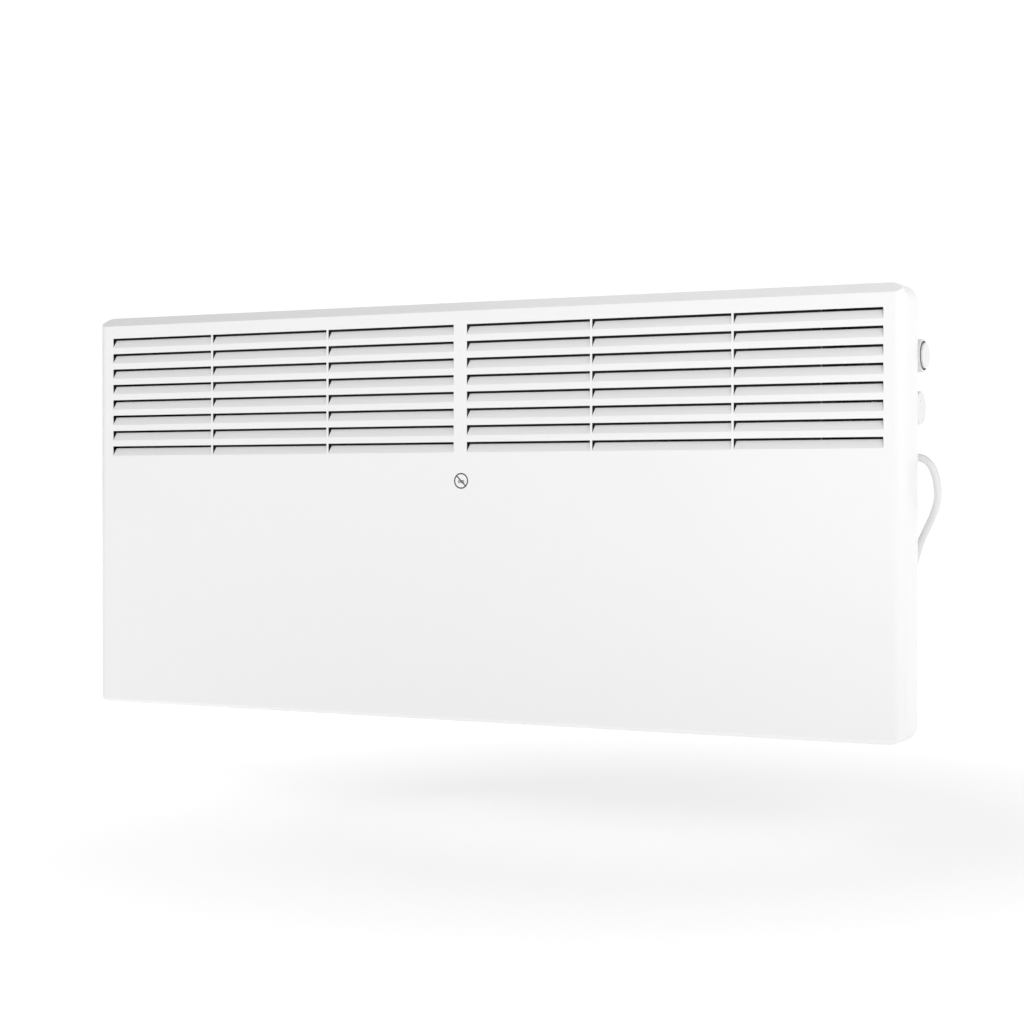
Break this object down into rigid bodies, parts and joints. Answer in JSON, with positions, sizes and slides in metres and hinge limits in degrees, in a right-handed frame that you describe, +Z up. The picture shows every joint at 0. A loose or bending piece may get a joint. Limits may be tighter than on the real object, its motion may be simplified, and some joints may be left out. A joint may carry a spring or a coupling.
{
  "type": "wall convector heater",
  "caption": "Flat white wall-hung panel convector with louvred outlet bands, side push-button and thermostat knob, mains lead and wall bracket.",
  "frame": {"origin": "centre of the wall bracket's four bolt holes, on the wall plane", "axes": "+X along the width towards the controls, +Y into the wall, +Z up"},
  "size_m": [0.8758, 0.112, 0.4],
  "materials": {
    "white_enamel": "semi-gloss",
    "bracket_zinc": "zinc plated",
    "steel_hardware": "zinc plated",
    "galvanised_sheet": "galvanised",
    "black_rubber": "matte",
    "white_plastic": "satin",
    "control_plastic": "matte",
    "plated_tabs": "nickel plated",
    "aluminium_profile": "mill",
    "sheath_steel": "heat tinted",
    "ceramic": "matte",
    "copper_capillary": "drawn",
    "wire_brown": "satin",
    "wire_blue": "satin",
    "wire_green_yellow": "satin",
    "white_cord": "satin"
  },
  "bodies": {
    "bracket": {"bracket_shelf": "bracket_zinc", "bracket_top_bar": "bracket_zinc", "bracket_upright_left": "bracket_zinc", "bracket_upright_right": "bracket_zinc"},
    "heater": {"back_panel": "white_enamel", "clamp_screw_lower": "steel_hardware", "clamp_screw_upper": "steel_hardware", "control_partition": "galvanised_sheet", "cord_clamp_bar": "control_plastic", "cord_clamp_base": "control_plastic", "cord_coil": "white_cord", "cord_gland": "black_rubber", "cord_inner_end": "white_cord", "cord_tail": "white_cord", "cord_tie": "control_plastic", "cover_screw_lower_left": "steel_hardware", "cover_screw_lower_right": "steel_hardware", "cover_screw_upper_left": "steel_hardware", "cover_screw_upper_right": "steel_hardware", "earth_screw": "steel_hardware", "element_holder_left": "galvanised_sheet", "element_holder_right": "galvanised_sheet", "element_insulator_left": "ceramic", "element_insulator_right": "ceramic", "element_rod": "sheath_steel", "element_tab_left": "plated_tabs", "element_tab_right": "plated_tabs", "front_cover": "white_enamel", "heat_shield": "galvanised_sheet", "heating_element": "aluminium_profile", "plug_body": "white_cord", "plug_pin_left": "plated_tabs", "plug_pin_right": "plated_tabs", "plug_relief": "white_cord", "power_cord": "white_cord", "rear_casing": "white_enamel", "rear_spacer_left": "black_rubber", "rear_spacer_right": "black_rubber", "sensor_bulb": "steel_hardware", "sensor_capillary": "copper_capillary", "sensor_clip": "steel_hardware", "switch_bezel": "white_plastic", "switch_body": "control_plastic", "switch_seal_ring": "black_rubber", "switch_tab_lower": "plated_tabs", "switch_tab_upper": "plated_tabs", "thermal_cutout": "control_plastic", "thermostat_body": "control_plastic", "thermostat_nut": "steel_hardware", "thermostat_tab_lower": "plated_tabs", "thermostat_tab_upper": "plated_tabs", "wire_earth": "wire_green_yellow", "wire_grommet": "black_rubber", "wire_heater": "wire_brown", "wire_live": "wire_brown", "wire_neutral": "wire_blue", "wire_switched": "wire_brown"},
    "button": {"power_button": "white_plastic"},
    "knob": {"thermostat_knob": "white_plastic", "thermostat_shaft": "steel_hardware"}
  },
  "joints": [
    {"name": "heater_lift", "type": "slide", "parent": "bracket", "child": "heater", "axis": [0, 0, 1], "range_m": [0, 0.012]},
    {"name": "button_press", "type": "slide", "parent": "heater", "child": "button", "axis": [-1, 0, 0], "range_m": [0, 0.002], "stiffness_N_per_m": 600, "springref_m": -0.002},
    {"name": "thermostat_turn", "type": "hinge", "parent": "heater", "child": "knob", "pos_m": [0.424, -0.0547, 0.0928], "axis": [1, 0, 0], "range_deg": [-187, 113]}
  ]
}
